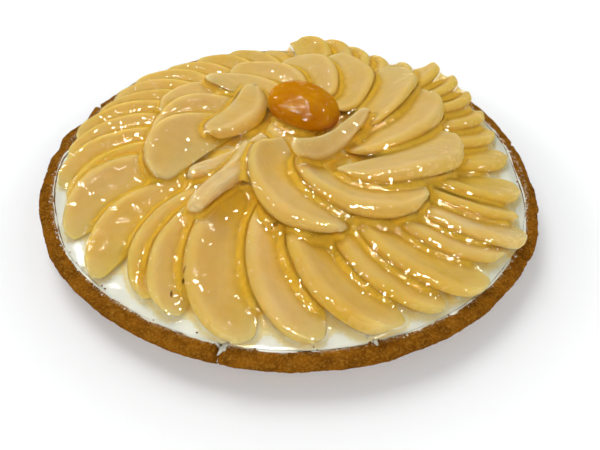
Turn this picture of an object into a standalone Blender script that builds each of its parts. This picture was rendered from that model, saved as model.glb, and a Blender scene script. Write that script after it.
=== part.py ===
"""Pear vlaai, uncut: a low flared crust full of cream, an outer and an inner ring of
overlapping pear slices, and half an apricot on top.

Metres, +Z up. The origin is the centre of the flat underside. Bearings and headings
are degrees counter-clockwise from +X, seen from above."""

import math
from collections import namedtuple

import bmesh
import bpy
import numpy as np
from mathutils import Vector, noise
from mathutils.bvhtree import BVHTree

# Crust
RIM_RADIUS = 0.1402
FOOT_RADIUS = 0.1338
RIM_HEIGHT = 0.0160
RIM_WIDTH = 0.0078
FLOOR_THICKNESS = 0.0040
FOOT_BEVEL = 0.0012
RIM_ROUNDING = 0.0006
CORNER = 0.0058             # slope between the inside of the wall and the floor
CRUMB_RELIEF = 0.00045      # how far the baked surface wanders in and out
CRUMB_SCALE = 90.0          # lumps of that relief in each metre
COLUMNS = 90                # evenly spaced columns of faces round crust and cream

# Cream
CREAM_TOP = 0.0172
CREAM_EDGE = 0.0152         # where it meets the inside of the rim
CREAM_BEVEL = 0.0052        # width of the sloping step at its edge
MOUND_HEIGHT = 0.0070       # low dome under the inner ring
MOUND_FOOT = 0.0680         # radius where it starts to rise, and where it is level again
MOUND_SHOULDER = 0.0440
CLEARANCE = 0.0003          # between neighbours that touch

# Pear slices
STATIONS = 11               # cross-sections along a slice
TIP_WIDTH = 0.16            # width of a pointed tip, as a share of the full width
BLUNT_WIDTH = 0.42          # added to that at a cut tip
SKIN_SHARE = 0.56           # of the width that lies on the skin side of the axis
SKIN_WIDEST = 0.58          # where each side is widest, along a share of the length
CORE_WIDEST = 0.64
SKIN_FULLNESS = 2.1         # 2 is an ellipse, more is squarer
CORE_FULLNESS = 2.1
THICKNESS_AT_ENDS = 0.62    # as a share of the full thickness
SKIN_FOOT = 0.34            # how far in the rounded skin side lies, as shares of the thickness,
SKIN_BELLY = 0.38           # how high its widest place is,
SKIN_EDGE = 0.60            # and how far in it meets the cut face
CELL = 0.0012               # grid on which a slice feels what lies under it
PUSH = 3000.0               # how much harder it is to sink in than to stand clear
STIFFNESS = 0.001           # resistance to sagging and twisting
SETTLING_ROUNDS = 40

# Half apricot
APRICOT_RADIUS = 0.0212
APRICOT_HEIGHT = 0.0168
APRICOT_PLACE = (0.0055, 0.0065)
APRICOT_BELLY = 0.24        # height of the widest place, as a share of the whole height
APRICOT_CUT = -24.0         # degrees below the widest place where the half is cut
APRICOT_CROWN = 80.0
APRICOT_COLUMNS = 26
APRICOT_ROWS = 8

Dent = namedtuple("Dent", "bearing half_width depth")
# Where the rim's outline leaves its circle: inward is positive
DENTS = (
    Dent(171.5, 6.5, 0.0050), Dent(-177.5, 3.0, 0.0030), Dent(-5.0, 17.0, 0.0024),
    Dent(30.0, 14.0, -0.0024), Dent(-31.0, 7.0, -0.0012), Dent(-139.0, 9.0, -0.0009),
    Dent(118.0, 22.0, -0.0020), Dent(158.0, 6.0, 0.0012),
)
Cut = namedtuple("Cut", "bearing half_angle depth inward")
# Breaks in the rim: the crack at the front, a gap at the back left, and chips
CUTS = (
    Cut(-100.0, 0.50, 0.0065, 0.0020), Cut(163.0, 1.10, 0.0060, 0.0045),
    Cut(6.5, 0.80, 0.0012, 0.0010), Cut(-19.8, 0.90, 0.0008, 0.0010),
    Cut(-34.7, 1.10, 0.0006, 0.0012), Cut(-168.0, 0.70, 0.0007, 0.0010),
)

# The tip stands at `bearing` and `reach` from the centre, and the slice points along
# `heading`. It is `thick` at the skin side and `thin` at the core side, bows out by
# `bend`, ends pointed or `blunt`, is `stem` wide at its stem end, as a share of its
# width, and may `lean` on its edge or have its tip held up by `lift`.
Slice = namedtuple(
    "Slice",
    "bearing reach heading length width thick thin bend blunt stem lean lift",
    defaults=(0.068, 0.0265, 0.0072, 0.0016, 0.0070, 0.0, 0.42, 0.0, 0.0),
)
# Each slice lies over the one before it, thick skin side first. The back left is laid
# first and the back right last.
OUTER_RING = (
    Slice(103, 0.127, 114), Slice(115, 0.130, 126), Slice(127, 0.130, 138),
    Slice(139, 0.129, 150), Slice(150, 0.131, 160), Slice(160, 0.128, 170),
    Slice(170, 0.126, 181), Slice(180, 0.129, 192), Slice(190, 0.127, 202),
    Slice(200, 0.129, 212), Slice(209, 0.125, 218),
    Slice(218, 0.130, 225, 0.068, 0.028, bend=0.0100),
    Slice(231.5, 0.132, 235, 0.070, 0.0260, bend=0.0110),
    Slice(243, 0.127, 249, 0.070, 0.025, bend=0.0085),
    Slice(249.5, 0.129, 253, 0.070, 0.025, bend=0.0080),
    Slice(263, 0.133, 271, 0.078, 0.031, 0.0084, bend=0.0095, blunt=0.1),
    Slice(275.5, 0.131, 282, 0.076, 0.029, 0.0084, bend=0.0065),
    Slice(289.5, 0.131, 296, 0.074, 0.0295, 0.0090, bend=0.0100, blunt=0.7),
    Slice(300, 0.131, 304, 0.074, 0.025, bend=0.0080),
    Slice(310.5, 0.133, 314, 0.072, 0.029, bend=0.0095, blunt=0.5),
    Slice(320.5, 0.129, 323, blunt=0.3), Slice(327.5, 0.134, 328, 0.070, 0.028, blunt=0.7),
    Slice(334, 0.128, 334, width=0.022), Slice(344, 0.128, 347, width=0.029),
    Slice(358, 0.125, 358, blunt=0.3), Slice(10, 0.126, 10, width=0.028),
    Slice(19, 0.127, 19, thick=0.0078, blunt=0.6, lift=0.001),
    Slice(28, 0.128, 29, thick=0.0095, blunt=1.0, lift=0.002),
    Slice(36, 0.129, 39, thick=0.0100, blunt=1.0, lift=0.003),
    Slice(45, 0.132, 49, thick=0.0105, blunt=1.0, lift=0.004),
    Slice(55, 0.127, 60, thick=0.0088, blunt=0.8, lift=0.001),
    Slice(65, 0.127, 71, thick=0.0088, blunt=0.7, lift=0.001),
    Slice(74, 0.129, 81, thick=0.0090, blunt=0.5, lift=0.003),
    Slice(82, 0.129, 89, thick=0.0092, blunt=0.4, lift=0.005),
    Slice(91, 0.128, 98, thick=0.0092, blunt=0.3, lift=0.006),
)
# Two slices lie across the middle, under the inner ring and the apricot
MIDDLE = (Slice(60, 0.036, 45, 0.064, 0.028), Slice(275, 0.036, 262, 0.060, 0.028))
INNER_RING = (
    Slice(171, 0.081, 203, 0.060), Slice(192, 0.078, 218, 0.060),
    Slice(214, 0.082, 238, 0.058, 0.029),
    Slice(223, 0.069, 216, 0.044, 0.0135, 0.0095, 0.0070, 0.0010, blunt=0.8, stem=0.75),
    Slice(241.5, 0.087, 244, 0.050, 0.0150, 0.0100, 0.0075, -0.0010, blunt=0.8, stem=0.55),
    Slice(286, 0.085, 303, 0.064, 0.031, 0.0088, bend=0.0075),
    Slice(318, 0.088, 337, 0.066, 0.030, 0.0088, bend=0.0110, blunt=0.3),
    Slice(358, 0.090, 392, 0.074, 0.033, 0.0088, bend=0.0100, blunt=0.5),
    Slice(21, 0.089, 405, 0.070, 0.031, 0.0084, bend=0.0050, blunt=0.6),
    Slice(46, 0.096, 425, 0.070, 0.030, bend=0.0050), Slice(72, 0.088, 450, 0.062, 0.029),
    Slice(97, 0.086, 475, 0.062, 0.029), Slice(122, 0.085, 502, 0.060, 0.029),
    Slice(143, 0.071, 524, 0.052, 0.026, 0.0062),
)
# Laid after the apricot: one flat at its left, one leaning on it at the front right
BESIDE_APRICOT = (
    Slice(126.5, 0.0452, 68, 0.052, 0.0215, 0.0078, 0.0030, 0.0065, blunt=0.6, stem=0.25),
    Slice(12.5, 0.0415, 53, 0.066, 0.0135, 0.0060, 0.0020, 0.0010, lean=-66.0, lift=0.003),
)

CRUST_COLOUR = (0.235, 0.085, 0.013)
CREAM_COLOUR = (0.720, 0.660, 0.470)
PEAR_COLOUR = (0.640, 0.400, 0.110)
APRICOT_COLOUR = (0.550, 0.140, 0.006)
FRUIT_ROUGHNESS = 0.22
CRUST_ROUGHNESS = 0.85
SMOOTH_BELOW = math.radians(42.0)


def clear_scene():
    for old in list(bpy.data.objects):
        bpy.data.objects.remove(old, do_unlink=True)


def finish_material(name, colour, roughness):
    material = bpy.data.materials.new(name)
    material.use_nodes = True
    shader = material.node_tree.nodes["Principled BSDF"]
    shader.inputs["Base Color"].default_value = (*colour, 1.0)
    shader.inputs["Roughness"].default_value = roughness
    shader.inputs["Metallic"].default_value = 0.0
    return material


def make_object(name, points, faces, colour, roughness):
    """A closed smooth-shaded object from points and faces, split into triangles."""
    mesh = bpy.data.meshes.new(name)
    work = bmesh.new()
    corners = [work.verts.new(point) for point in points]
    for face in faces:
        work.faces.new([corners[i] for i in face])
    bmesh.ops.triangulate(work, faces=work.faces[:])
    bmesh.ops.recalc_face_normals(work, faces=work.faces[:])
    work.to_mesh(mesh)
    work.free()
    mesh.shade_smooth()
    mesh.set_sharp_from_angle(angle=SMOOTH_BELOW)
    mesh.materials.append(finish_material(name, colour, roughness))
    made = bpy.data.objects.new(name, mesh)
    bpy.context.scene.collection.objects.link(made)
    return made


def turn_difference(bearing, other):
    """Smallest turn between two bearings, in degrees."""
    return abs((bearing - other + 180.0) % 360.0 - 180.0)


def column_bearings():
    """Even columns, with three more at each break so that it stays narrow."""
    step = 360.0 / COLUMNS
    even = [step * i for i in range(COLUMNS)]
    kept = [b for b in even if all(turn_difference(b, c.bearing) > 2.0 * c.half_angle for c in CUTS)]
    extra = [(c.bearing + side * c.half_angle) % 360.0 for c in CUTS for side in (-1, 0, 1)]
    return sorted(kept + extra)


def rim_dent(bearing):
    """How far the rim's outline is pushed in at a bearing."""
    total = 0.0
    for dent in DENTS:
        turn = turn_difference(bearing, dent.bearing) / dent.half_width
        if turn < 1.0:
            total += dent.depth * (0.5 + 0.5 * math.cos(math.pi * turn))
    return total


def rim_cut(bearing):
    """Drop and inward chip of the rim at a bearing, both zero away from the breaks."""
    for cut in CUTS:
        if turn_difference(bearing, cut.bearing) < 0.3 * cut.half_angle:
            return cut.depth, cut.inward
    return 0.0, 0.0


def relief(radius, bearing, layer):
    """Uneven baked surface, from smooth noise."""
    angle = math.radians(bearing)
    place = Vector((radius * math.cos(angle), radius * math.sin(angle), 0.01 * layer))
    return CRUMB_RELIEF * 2.0 * noise.noise(place * CRUMB_SCALE)


def crust_profile(bearing):
    """Radii and heights of the crust's section, from under the foot over the rim to the floor."""
    dent = rim_dent(bearing)
    drop, chip = rim_cut(bearing)
    outer = RIM_RADIUS - dent - chip
    inner = RIM_RADIUS - dent - RIM_WIDTH
    foot = FOOT_RADIUS - dent - 0.4 * chip
    top = RIM_HEIGHT + relief(outer, bearing, 5) - drop
    return [
        (foot - FOOT_BEVEL, 0.0),
        (foot + relief(foot, bearing, 1), FOOT_BEVEL),
        (foot + 0.58 * (outer - foot) + relief(foot, bearing, 2), 0.45 * RIM_HEIGHT),
        (outer + relief(outer, bearing, 3), 0.80 * RIM_HEIGHT - 0.5 * drop),
        (outer - 0.15 * RIM_WIDTH + relief(outer, bearing, 4), top - RIM_ROUNDING),
        (outer - 0.50 * RIM_WIDTH, top),
        (inner + 0.10 * RIM_WIDTH, top - 0.5 * RIM_ROUNDING),
        (inner, min(top, CREAM_EDGE) - 2.0 * RIM_ROUNDING),
        (inner - 0.6 * CORNER, FLOOR_THICKNESS + 0.3 * CORNER),
        (inner - CORNER, FLOOR_THICKNESS),
    ]


def polar(radius, bearing, height):
    angle = math.radians(bearing)
    return radius * math.cos(angle), radius * math.sin(angle), height


def turned_solid(name, profiles, first_centre, last_centre, colour, roughness):
    """A solid of revolution whose section may differ from column to column."""
    rows = len(profiles[0][1])
    points = [polar(radius, bearing, height) for bearing, profile in profiles for radius, height in profile]
    first = len(points)
    points += [(0.0, 0.0, first_centre), (0.0, 0.0, last_centre)]
    faces = []
    for column in range(len(profiles)):
        here = column * rows
        there = (column + 1) % len(profiles) * rows
        for row in range(rows - 1):
            faces.append((here + row, there + row, there + row + 1, here + row + 1))
        faces.append((first, there, here))
        faces.append((first + 1, here + rows - 1, there + rows - 1))
    return make_object(name, points, faces, colour, roughness)


def make_crust():
    profiles = [(bearing, crust_profile(bearing)) for bearing in column_bearings()]
    return turned_solid("crust", profiles, 0.0, FLOOR_THICKNESS, CRUST_COLOUR, CRUST_ROUGHNESS)


def mound(radius):
    """Height of the low dome of cream above its flat top."""
    share = min(1.0, max(0.0, (MOUND_FOOT - radius) / (MOUND_FOOT - MOUND_SHOULDER)))
    return MOUND_HEIGHT * share * share * (3.0 - 2.0 * share)


def cream_profile(bearing):
    inner = RIM_RADIUS - rim_dent(bearing) - RIM_WIDTH - CLEARANCE
    shoulder = inner - CREAM_BEVEL
    swell = relief(shoulder, bearing, 7)
    profile = [
        (inner - CORNER, FLOOR_THICKNESS + CLEARANCE),
        (inner - 0.6 * CORNER, FLOOR_THICKNESS + 0.3 * CORNER + CLEARANCE),
        (inner, CREAM_EDGE - 2.0 * CLEARANCE),
        (inner - 2.0 * CLEARANCE, CREAM_EDGE),
        (shoulder, CREAM_TOP - CLEARANCE + swell),
        (shoulder - CREAM_BEVEL, CREAM_TOP),
    ]
    for share in (0.0, 0.30, 0.70, 1.0):
        radius = MOUND_FOOT + share * (MOUND_SHOULDER - MOUND_FOOT)
        profile.append((radius, CREAM_TOP + mound(radius)))
    return profile


def make_cream():
    profiles = [(bearing, cream_profile(bearing)) for bearing in column_bearings()]
    bottom = FLOOR_THICKNESS + CLEARANCE
    top = CREAM_TOP + MOUND_HEIGHT
    return turned_solid("cream", profiles, bottom, top, CREAM_COLOUR, FRUIT_ROUGHNESS)


def taper(share, widest, start, end, fullness):
    """Relative width along a slice: `start` at the stem, 1 at `widest`, `end` at the tip."""
    share = np.asarray(share, dtype=float)
    before = share < widest
    distance = np.where(before, (widest - share) / widest, (share - widest) / (1.0 - widest))
    least = np.where(before, start, end)
    return least + (1.0 - least) * (1.0 - np.clip(distance, 0, 1) ** fullness) ** (1.0 / fullness)


def slice_sides(row, share):
    """Sideways places of the skin edge and the core edge, along a share of the length."""
    tip = TIP_WIDTH + BLUNT_WIDTH * row.blunt
    bow = row.bend * 4.0 * share * (1.0 - share)
    skin = -SKIN_SHARE * row.width * taper(share, SKIN_WIDEST, row.stem, tip, SKIN_FULLNESS) - bow
    core = (1.0 - SKIN_SHARE) * row.width * taper(share, CORE_WIDEST, row.stem, tip, CORE_FULLNESS) - bow
    return skin, core


def slice_section(row, share):
    """Sideways places and heights round one cross-section, above the resting face."""
    skin, core = (float(side) for side in slice_sides(row, share))
    width = core - skin
    least = THICKNESS_AT_ENDS + (1.0 - THICKNESS_AT_ENDS) * (row.blunt if share > 0.5 else 0.0)
    full = least + (1.0 - least) * math.sin(math.pi * share) ** 0.7
    thick = min(row.thick * full, 0.8 * width)
    thin = min(row.thin, 0.8 * thick)
    middle = skin + 0.52 * width
    section = [
        (skin + SKIN_FOOT * thick, 0.0), (skin, SKIN_BELLY * thick), (skin + SKIN_EDGE * thick, thick),
        (middle, thin + 0.54 * (thick - thin)), (core - 0.25 * thin, thin),
        (core, 0.5 * thin), (core - 0.25 * thin, 0.0), (middle, 0.0),
    ]
    if row.lean:
        turn = math.radians(row.lean)
        section = [(a * math.cos(turn) + h * math.sin(turn), h * math.cos(turn) - a * math.sin(turn))
                   for a, h in section]
        lowest = min(h for a, h in section)
        section = [(a, h - lowest) for a, h in section]
    return section


def footprint(row, share):
    """Sideways reach of a slice's sections, along a share of its length."""
    steps = np.linspace(0.0, 1.0, 2 * STATIONS)
    reaches = [[across for across, height in slice_section(row, step)] for step in steps]
    low = np.interp(share, steps, [min(reach) for reach in reaches])
    high = np.interp(share, steps, [max(reach) for reach in reaches])
    return low, high


def slice_frame(row):
    """Where the slice's own origin, its stem end, lies, and its two flat directions."""
    heading = math.radians(row.heading)
    along = np.array((math.cos(heading), math.sin(heading)))
    across = np.array((-along[1], along[0]))
    tip = row.reach * np.array((math.cos(math.radians(row.bearing)), math.sin(math.radians(row.bearing))))
    return tip - row.length * along, along, across


def resting_terms(row, along, across):
    """Terms of the gently bent and twisted face that a slice rests on."""
    u = np.asarray(along) / row.length - 0.5
    v = np.asarray(across) / row.width
    return np.stack([np.ones_like(u), u, v, u * v, u * u, v * v, u * u * u, u * u * v, u * v * v], axis=-1)


def settle(terms, heights):
    """Factors of the lowest face, made of the terms, that clears the heights below it."""
    push = np.ones(len(heights))
    hold = np.diag([0.0] * 3 + [STIFFNESS] * (terms.shape[1] - 3)) * len(heights)
    for _ in range(SETTLING_ROUNDS):
        weighted = terms * push[:, None]
        factors = np.linalg.solve(weighted.T @ terms + hold, weighted.T @ heights)
        push = np.where(terms @ factors < heights, PUSH, 1.0)
    factors[0] += float(np.max(heights - terms @ factors)) + CLEARANCE
    return factors


class Heap:
    """Height of what is laid so far, on a square grid over the whole tart."""

    def __init__(self):
        self.half = int(RIM_RADIUS * 1.15 / CELL)
        side = 2 * self.half + 1
        self.heights = np.zeros((side, side))

    def add(self, made):
        """Raise the heap to the top of an object."""
        points = [made.matrix_world @ vertex.co for vertex in made.data.vertices]
        tree = BVHTree.FromPolygons(points, [tuple(p.vertices) for p in made.data.polygons])
        low = [int(math.floor(min(p[k] for p in points) / CELL)) for k in (0, 1)]
        high = [int(math.ceil(max(p[k] for p in points) / CELL)) for k in (0, 1)]
        for i in range(low[0], high[0] + 1):
            for j in range(low[1], high[1] + 1):
                hit = tree.ray_cast(Vector((i * CELL, j * CELL, 1.0)), Vector((0.0, 0.0, -1.0)))[0]
                if hit is not None:
                    cell = (i + self.half, j + self.half)
                    self.heights[cell] = max(self.heights[cell], hit.z)

    def raised(self):
        """Each cell as high as the highest of its neighbours."""
        result = self.heights.copy()
        for across in (-1, 0, 1):
            for along in (-1, 0, 1):
                result = np.maximum(result, np.roll(self.heights, (across, along), (0, 1)))
        return result

    def under(self, row):
        """Places along and across a slice of the cells under it, and their heights."""
        origin, along, across = slice_frame(row)
        axis = np.arange(-self.half, self.half + 1) * CELL
        x, y = np.meshgrid(axis - origin[0], axis - origin[1], indexing="ij")
        u = x * along[0] + y * along[1]
        v = x * across[0] + y * across[1]
        share = np.clip(u / row.length, 0.0, 1.0)
        skin, core = footprint(row, share)
        inside = (u > -CELL) & (u < row.length + CELL) & (v > skin - CELL) & (v < core + CELL)
        return u[inside], v[inside], self.raised()[inside]


def place_slice(row, factors, along, across, height):
    """World place of a point given along, across and above a slice's resting face."""
    origin, forward, left = slice_frame(row)
    x, y = origin + along * forward + across * left
    return float(x), float(y), float(resting_terms(row, along, across) @ factors) + height


def make_slice(name, row, heap, colour):
    u, v, heights = heap.under(row)
    heights = heights + row.lift * np.clip(u / row.length, 0.0, 1.0) ** 2
    factors = settle(resting_terms(row, u, v), heights)
    points = []
    for station in range(STATIONS):
        share = 0.5 - 0.5 * math.cos(math.pi * station / (STATIONS - 1))
        end = station in (0, STATIONS - 1)
        section = slice_section(row, share)
        middle = 0.5 * max(height for across, height in section)
        for across, height in section:
            rounded = middle + 0.72 * (height - middle) if end else height
            points.append(place_slice(row, factors, share * row.length, across, rounded))
    size = len(section)
    faces = [tuple(range(size)), tuple(range(len(points) - size, len(points)))[::-1]]
    for station in range(STATIONS - 1):
        start = station * size
        for k in range(size):
            after = (k + 1) % size
            faces.append((start + k, start + size + k, start + size + after, start + after))
    made = make_object(name, points, faces, colour, FRUIT_ROUGHNESS)
    heap.add(made)
    return made


def pear_shade(index):
    """Neighbouring slices differ a little, from golden to pale."""
    pale = 0.5 + 0.5 * math.sin(2.4 * index)
    return tuple(channel * (0.92 + 0.16 * pale) for channel in PEAR_COLOUR)


def make_ring(prefix, rows, heap):
    for index, row in enumerate(rows, start=1):
        make_slice(f"{prefix}_{index:02d}", row, heap, pear_shade(index))


def apricot_height(rise):
    """Height of the half's surface, from its cut rim up over the widest place to the top."""
    cut = math.radians(APRICOT_CUT)
    side = APRICOT_BELLY * APRICOT_HEIGHT
    if rise < 0.0:
        return side * (1.0 - rise / cut)
    return side + (APRICOT_HEIGHT - side) * math.sin(rise)


def make_apricot(heap):
    """A domed half, cut face down, on the slices that meet in the middle."""
    axis = np.arange(-heap.half, heap.half + 1) * CELL
    x, y = np.meshgrid(axis - APRICOT_PLACE[0], axis - APRICOT_PLACE[1], indexing="ij")
    under = np.hypot(x, y) < APRICOT_RADIUS
    level = np.stack([np.ones(under.sum()), x[under], y[under]], axis=-1)
    factors = settle(level, heap.raised()[under])
    points = []
    for row in range(APRICOT_ROWS):
        rise = math.radians(APRICOT_CUT + (APRICOT_CROWN - APRICOT_CUT) * row / (APRICOT_ROWS - 1))
        for column in range(APRICOT_COLUMNS):
            bearing = 360.0 * column / APRICOT_COLUMNS
            across, along, height = polar(APRICOT_RADIUS * math.cos(rise), bearing, apricot_height(rise))
            rest = float(factors @ np.array((1.0, across, along)))
            points.append((APRICOT_PLACE[0] + across, APRICOT_PLACE[1] + along, rest + height))
    top = len(points) - APRICOT_COLUMNS
    faces = [tuple(range(APRICOT_COLUMNS))[::-1], tuple(range(top, len(points)))]
    for row in range(APRICOT_ROWS - 1):
        start = row * APRICOT_COLUMNS
        for column in range(APRICOT_COLUMNS):
            after = start + (column + 1) % APRICOT_COLUMNS
            faces.append((start + column, after, after + APRICOT_COLUMNS, start + column + APRICOT_COLUMNS))
    return make_object("apricot", points, faces, APRICOT_COLOUR, FRUIT_ROUGHNESS)


def main():
    clear_scene()
    heap = Heap()
    heap.add(make_crust())
    heap.add(make_cream())
    make_ring("pear_outer", OUTER_RING, heap)
    make_ring("pear_middle", MIDDLE, heap)
    make_ring("pear_inner", INNER_RING, heap)
    heap.add(make_apricot(heap))
    make_ring("pear_beside", BESIDE_APRICOT, heap)


main()
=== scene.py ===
"""The looks of the pear vlaai: fine surfaces, glaze, crumbs, floor, light and camera.

Metres, +Z up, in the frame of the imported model. Every shape is worked out from the
frame's own solids, which the pieces here stand for."""

import math
import random

import bmesh
import bpy
import numpy as np
from mathutils import Matrix, Vector, noise
from mathutils.bvhtree import BVHTree


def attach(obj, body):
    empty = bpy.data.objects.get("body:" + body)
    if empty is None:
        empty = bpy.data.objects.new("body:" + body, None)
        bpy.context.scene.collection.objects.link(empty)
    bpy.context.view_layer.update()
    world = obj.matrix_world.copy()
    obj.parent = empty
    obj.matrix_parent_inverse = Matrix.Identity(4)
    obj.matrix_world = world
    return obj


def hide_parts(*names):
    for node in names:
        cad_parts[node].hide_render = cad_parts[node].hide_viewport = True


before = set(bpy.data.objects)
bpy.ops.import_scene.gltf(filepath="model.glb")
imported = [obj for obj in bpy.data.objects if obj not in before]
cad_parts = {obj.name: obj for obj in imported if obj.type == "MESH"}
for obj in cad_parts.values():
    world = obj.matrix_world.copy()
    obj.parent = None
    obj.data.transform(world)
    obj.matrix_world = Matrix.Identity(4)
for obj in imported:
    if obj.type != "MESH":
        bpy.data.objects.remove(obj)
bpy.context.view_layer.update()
NOISE_SEED = 1               # vector noise starts from the clock where it has no seed
noise.seed_set(NOISE_SEED)

# Camera: a short lens, close above the front edge
CAMERA_PLACE = (0.00587, -0.21496, 0.16711)
CAMERA_RIGHT = (0.99911, 0.02998, 0.02979)
CAMERA_UP = (-0.04226, 0.70861, 0.70434)
CAMERA_FORWARD = (0.0, 0.70497, -0.70924)
LENS = 25.8
SENSOR = 36.0

# Pear slices
STATIONS = 11                # cross-sections in a slice's solid
CORNERS = 8                  # points in each of them, from the skin side over the top
ALONG = 73                   # cross-sections in the fine slice
PER_CORNER = 5               # points that round one corner
CORNER_RADII = (0.0036, 0.0026, 0.0090, 0.0022, 0.0014, 0.0008, 0.0060, 0.0012)
END_RINGS = ((0.86, 0.0004), (0.55, 0.0008))     # share of the section, distance beyond it
END_TIP = 0.0009
HEADINGS = {"pear_beside_01": 68.0, "pear_beside_02": 53.0}      # the rest point outwards
LEAN = {"pear_beside_02": -66.0}         # degrees that a slice stands on its edge
FIBROUS = {"pear_inner_04": 1.0, "pear_inner_05": 1.0, "pear_outer_22": 0.4}
SAME_STATION = 0.0001        # how far apart a section's points may lie along the slice
LARGEST_CUT = 0.48           # share of an edge that one rounded corner may take
SKIN_CORNER = 0.4            # where round a section the skin is strongest, in corners
SKIN_REACH = 1.3
WOBBLE = ((60.0, 0.00045), (230.0, 0.00014))     # lumps in each metre, size in metres
TIP_GLOW_START = 0.72             # share of a slice's length where its painted pale glow at the tip begins

# Heights seen from above, on a square grid
CELL = 0.00075
HALF_CELLS = 200
POOL_AND_CREASE_REACH = 0.0060          # how wide a hollow gathers glaze and painted crease light
POOL_AND_CREASE_DEPTH = 0.0034
STAIN_REACH = 0.0030
INSIDE_REACH = 0.0055
STAIN_RADIUS = 0.0950        # inside it glaze has soaked all the cream
STAIN_FADE = 0.0200


def lumps(points, scale, seed):
    """Smooth random vectors at the given places."""
    offset = Vector((seed * 3.1, seed * 1.7, seed * 2.3))
    return np.array([noise.noise_vector(Vector(p) * scale + offset) for p in points])


def node_points(name):
    """The distinct corners of a node's solid."""
    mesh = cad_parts[name].data
    flat = np.zeros(3 * len(mesh.vertices), dtype=np.float32)
    mesh.vertices.foreach_get("co", flat)
    return np.unique(np.round(flat.reshape(-1, 3).astype(float), 6), axis=0)


def polar(radius, bearing):
    """A place on the floor plane, from its radius and its bearing in degrees."""
    angle = math.radians(bearing)
    return radius * math.cos(angle), radius * math.sin(angle)


def new_object(name, points, faces):
    """An object with its own mesh, in the scene."""
    mesh = bpy.data.meshes.new(name)
    mesh.from_pydata([tuple(p) for p in points], [], [tuple(f) for f in faces])
    made = bpy.data.objects.new(name, mesh)
    bpy.context.scene.collection.objects.link(made)
    return made


def make_piece(name, points, faces, material, slot, replaced=(), **attributes):
    """A smooth-shaded piece that rides on the tart, with float attributes for its points."""
    piece = new_object(name, points, faces)
    mesh = piece.data
    mesh.shade_smooth()
    for key, values in attributes.items():
        layer = mesh.attributes.new(key, "FLOAT", "POINT")
        layer.data.foreach_set("value", np.asarray(values, dtype=np.float32))
    mesh.materials.append(material)
    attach(piece, "root")
    if replaced:
        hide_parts(*replaced)
    return piece


# Fine slices

def slice_direction(points, name):
    """Level direction from the stem end to the tip: across it the points fall in few lines."""
    def loose(angles):
        axes = np.stack([np.cos(angles), np.sin(angles)])
        gaps = np.sort(np.diff(np.sort(points[:, :2] @ axes, axis=0), axis=0), axis=0)
        return gaps[: len(points) - STATIONS].sum(axis=0)

    angles = np.radians(np.arange(0.0, 180.0, 0.2))
    best = angles[np.argmin(loose(angles))]
    near = best + np.radians(np.arange(-0.25, 0.25, 0.005))
    best = near[np.argmin(loose(near))]
    along = np.array((math.cos(best), math.sin(best)))
    outward = points[:, :2].mean(axis=0)
    if name in HEADINGS:
        outward = np.array(polar(1.0, HEADINGS[name]))
    return along if along @ outward > 0.0 else -along


def section_order(side, height, lean):
    """Order of a section's corners from the skin side over the top and back underneath."""
    if lean:
        turn = math.radians(lean)
        flat_side = side * math.cos(turn) - height * math.sin(turn)
        flat_height = side * math.sin(turn) + height * math.cos(turn)
        order = np.argsort(np.arctan2(flat_height, -flat_side))
        return np.roll(order, -int(np.argmin(flat_side[order])))
    skin_side, skin_under, skin_top, *pairs, core_side = np.argsort(side)
    middle = sorted(pairs[:2], key=lambda k: height[k])
    core = sorted(pairs[2:], key=lambda k: height[k])
    return [skin_side, skin_top, middle[1], core[1], core_side, core[0], middle[0], skin_under]


def groups(points, values, gap):
    """The points in groups of like values, lowest first."""
    order = np.argsort(values)
    splits = np.nonzero(np.diff(values[order]) > gap)[0] + 1
    return np.split(points[order], splits)


def with_middle(station, side):
    """A section with its middle underside point, where a flat underside had no need of it."""
    order = np.argsort(side)
    start, end = station[order[2]], station[order[4:6]]
    end = end[np.argmin(end[:, 2])]
    share = (side[order[3]] - side[order[2]]) / (side[order[4]] - side[order[2]])
    return np.concatenate([station, [start + share * (end - start)]])


def slice_net(name):
    """Corners of a slice's solid, as stations from stem to tip by corners round each."""
    points = node_points(name)
    along = slice_direction(points, name)
    across = np.array((-along[1], along[0]))
    net = []
    for station in groups(points, points[:, :2] @ along, SAME_STATION):
        side = station[:, :2] @ across
        if len(station) < CORNERS:
            station = with_middle(station, side)
            side = station[:, :2] @ across
        side = side - side.mean()
        height = station[:, 2] - station[:, 2].mean()
        net.append(station[section_order(side, height, LEAN.get(name, 0.0))])
    return np.array(net), along, across


def spline_weights(count, samples):
    """Weights that read a smooth curve through `count` evenly spaced knots."""
    bend = np.zeros((count, count))
    second = np.zeros((count, count))
    bend[0, 0] = bend[-1, -1] = 1.0
    for i in range(1, count - 1):
        bend[i, i - 1:i + 2] = (1.0, 4.0, 1.0)
        second[i, i - 1:i + 2] = (6.0, -12.0, 6.0)
    moments = np.linalg.solve(bend, second)
    weights = np.zeros((samples, count))
    for row, place in enumerate(np.linspace(0.0, count - 1.0, samples)):
        i = min(int(place), count - 2)
        u = place - i
        weights[row, i] += 1.0 - u
        weights[row, i + 1] += u
        weights[row] += ((1.0 - u) ** 3 - (1.0 - u)) / 6.0 * moments[i]
        weights[row] += (u ** 3 - u) / 6.0 * moments[i + 1]
    return weights


def corner_curve(before, here, after, radius):
    """Points of a quadratic curve that rounds one corner, for many outlines at once."""
    ends = []
    for other in (before, after):
        edge = other - here
        length = np.maximum(np.linalg.norm(edge, axis=1, keepdims=True), 1e-9)
        ends.append(here + edge / length * np.minimum(radius, LARGEST_CUT * length))
    start, end = ends
    steps = np.linspace(0.0, 1.0, PER_CORNER)
    return [(1 - s) ** 2 * start + 2 * s * (1 - s) * here + s ** 2 * end for s in steps]


def rounded(sections, radii):
    """Each closed section with its corners rounded."""
    parts = []
    for k, radius in enumerate(radii):
        after = (k + 1) % len(radii)
        parts += corner_curve(sections[:, k - 1], sections[:, k], sections[:, after], radius)
    return np.stack(parts, axis=1)


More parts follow.
